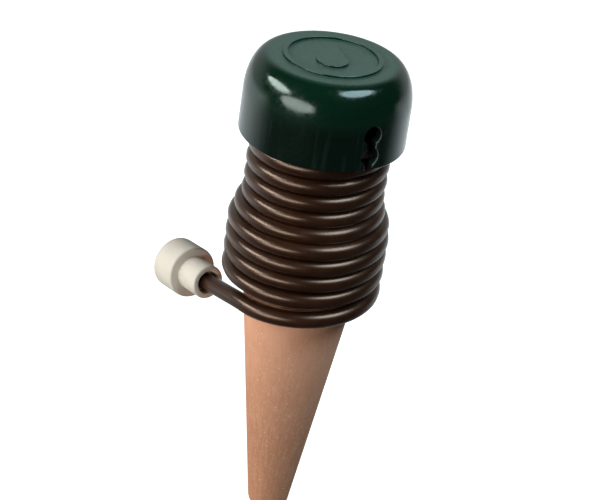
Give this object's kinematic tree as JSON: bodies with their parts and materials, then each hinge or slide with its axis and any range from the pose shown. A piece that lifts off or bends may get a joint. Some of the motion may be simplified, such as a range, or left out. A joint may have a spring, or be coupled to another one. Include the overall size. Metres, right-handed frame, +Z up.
{
  "type": "self watering spike",
  "caption": "Porous tapered watering spike with a domed screw cap, a thin suction hose wound round its neck and a stepped weight on the hose's free end.",
  "frame": {"origin": "lowest point of the cone's rounded tip, on its axis, where the spike enters the soil", "axes": "+Z up the axis from the tip to the cap; +X to the right and -Y towards the viewer in the pictured view, in which the hose's free end points left and the cap's notch is right of the middle"},
  "size_m": [0.0543, 0.038, 0.1251],
  "materials": {
    "clay": "unglazed fired clay, matt and porous",
    "cap_plastic": "polished dark green moulding",
    "inner_plastic": "as moulded",
    "seal_rubber": "soft black rubber",
    "hose_rubber": "dark brown flexible hose, satin",
    "weight_clay": "unglazed cream stoneware"
  },
  "bodies": {
    "cone": {"ceramic_cone": "clay", "neck_collar": "inner_plastic"},
    "seal": {"sealing_ring": "seal_rubber"},
    "cap": {"cap": "cap_plastic", "screw_plug": "inner_plastic", "hose_winding": "hose_rubber", "hose_lead": "hose_rubber", "intake_weight": "weight_clay"}
  },
  "joints": [
    {"name": "cap_lift", "type": "slide", "parent": "cone", "child": "seal", "axis": [0, 0, 1], "range_m": [0, 0.009]},
    {"name": "cap_turn", "type": "hinge", "parent": "seal", "child": "cap", "pos_m": [0, 0, 0.1064], "axis": [0, 0, 1], "range_deg": [0, 810]}
  ],
  "couplings": [
    {"joint": "cap_lift", "follows": "cap_turn", "m_per_rad": 0.00063662}
  ]
}
